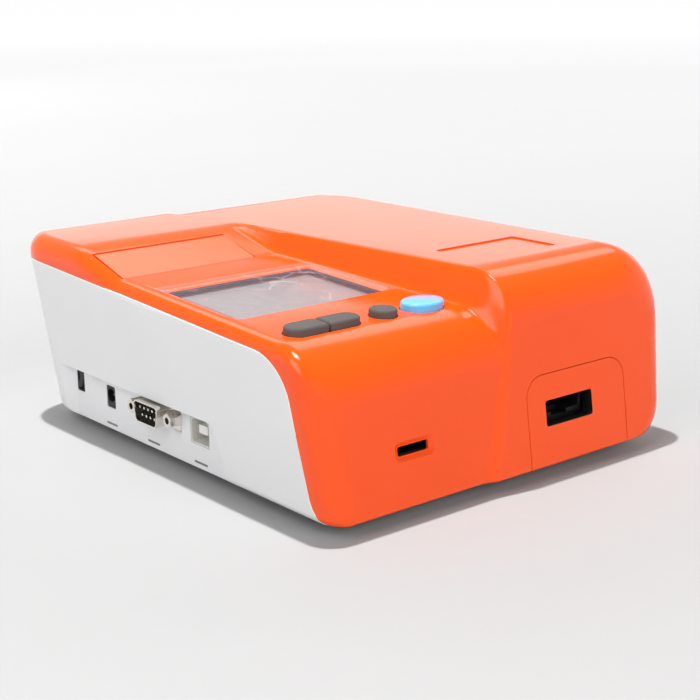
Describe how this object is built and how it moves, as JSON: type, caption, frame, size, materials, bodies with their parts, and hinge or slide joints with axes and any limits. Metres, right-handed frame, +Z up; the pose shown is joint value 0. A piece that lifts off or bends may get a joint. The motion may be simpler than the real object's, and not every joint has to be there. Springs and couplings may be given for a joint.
{
  "type": "bench immunoassay analyzer",
  "caption": "Low bench analyzer with a stepped two-part case, display deck with keys, side ports, motorised cartridge tray behind a front window and a lidded roll printer.",
  "frame": {"origin": "centre of the overall box, at the underside of the feet", "axes": "+X towards the raised right side, +Y from the front to the rear, +Z up"},
  "size_m": [0.1724, 0.2057, 0.0765],
  "materials": {
    "orange_shell": "glossy",
    "white_shell": "satin",
    "steel": "satin",
    "clear_window": "glossy",
    "lcd_grey": "satin",
    "black_plastic": "satin",
    "board_green": "satin",
    "key_rubber": "matte",
    "key_blue": "glossy",
    "foot_rubber": "matte",
    "nickel": "satin",
    "white_plastic": "satin",
    "brass": "satin",
    "zinc_bracket": "satin",
    "aluminium": "satin",
    "dark_plastic": "satin"
  },
  "bodies": {
    "case": {"upper_shell": "orange_shell", "lower_shell": "white_shell", "cartridge_cover": "orange_shell", "lid_pin": "steel", "display_window": "clear_window", "lcd_panel": "lcd_grey", "lcd_frame": "black_plastic", "display_board": "board_green", "keypad_board": "board_green", "tact_switches": "black_plastic", "main_board": "board_green", "board_chips": "black_plastic", "board_screws": "steel", "case_screws": "steel", "feet": "foot_rubber", "serial_shell": "nickel", "serial_insert": "black_plastic", "serial_pins": "nickel", "serial_jackscrews": "nickel", "data_port_shell": "nickel", "data_port_tongue": "white_plastic", "power_jack": "black_plastic", "power_jack_pin": "nickel", "switch_body": "black_plastic", "chip_socket": "black_plastic", "tray_guide": "black_plastic", "tray_motor": "steel", "motor_bracket": "zinc_bracket", "optical_head": "black_plastic", "lamp_tube": "aluminium", "detector_board": "board_green", "printer_frame": "dark_plastic", "print_head": "aluminium", "idler_axle": "steel", "printer_motor": "steel"},
    "lid": {"printer_lid": "orange_shell"},
    "platen": {"platen_roller": "foot_rubber", "platen_gear": "white_plastic"},
    "idler": {"idler_gear": "white_plastic"},
    "pinion": {"motor_pinion": "white_plastic"},
    "key_left": {"key_left": "key_rubber"},
    "key_right": {"key_right": "key_rubber"},
    "key_round": {"key_round": "key_rubber"},
    "key_oval": {"key_oval": "key_blue"},
    "rocker": {"power_rocker": "black_plastic"},
    "tray": {"cartridge_tray": "black_plastic", "tray_nut": "brass"},
    "screw": {"lead_screw": "steel"}
  },
  "joints": [
    {"name": "key_left_press", "type": "slide", "parent": "case", "child": "key_left", "axis": [0, 0.0454, -0.999], "range_m": [0, 0.001], "stiffness_N_per_m": 300},
    {"name": "key_right_press", "type": "slide", "parent": "case", "child": "key_right", "axis": [0, 0.0454, -0.999], "range_m": [0, 0.001], "stiffness_N_per_m": 300},
    {"name": "key_round_press", "type": "slide", "parent": "case", "child": "key_round", "axis": [0, 0.0454, -0.999], "range_m": [0, 0.001], "stiffness_N_per_m": 300},
    {"name": "key_oval_press", "type": "slide", "parent": "case", "child": "key_oval", "axis": [0, 0.0454, -0.999], "range_m": [0, 0.001], "stiffness_N_per_m": 300},
    {"name": "rocker_tilt", "type": "hinge", "parent": "case", "child": "rocker", "pos_m": [-0.0755, 0.0648, 0.0205], "axis": [0, -1, 0], "range_deg": [0, 14]},
    {"name": "lid_hinge", "type": "hinge", "parent": "case", "child": "lid", "pos_m": [-0.05, 0.04476, 0.07265], "axis": [-1, 0, 0], "range_deg": [0, 85]},
    {"name": "platen_spin", "type": "hinge", "parent": "lid", "child": "platen", "pos_m": [-0.05, 0.03233, 0.0631], "axis": [1, 0, 0], "continuous": true},
    {"name": "idler_spin", "type": "hinge", "parent": "case", "child": "idler", "pos_m": [-0.0757, 0.03485, 0.05446], "axis": [1, 0, 0], "continuous": true},
    {"name": "pinion_spin", "type": "hinge", "parent": "case", "child": "pinion", "pos_m": [-0.0757, 0.03694, 0.04726], "axis": [1, 0, 0], "continuous": true},
    {"name": "tray_slide", "type": "slide", "parent": "case", "child": "tray", "axis": [0, -1, 0], "range_m": [0, 0.03]},
    {"name": "screw_spin", "type": "hinge", "parent": "case", "child": "screw", "pos_m": [0.0474, -0.03, 0.0245], "axis": [0, 1, 0], "range_deg": [0, 1360]}
  ],
  "couplings": [
    {"joint": "idler_spin", "follows": "platen_spin", "ratio": -1},
    {"joint": "pinion_spin", "follows": "platen_spin", "ratio": 1.5},
    {"joint": "screw_spin", "follows": "tray_slide", "rad_per_m": 785.4}
  ]
}
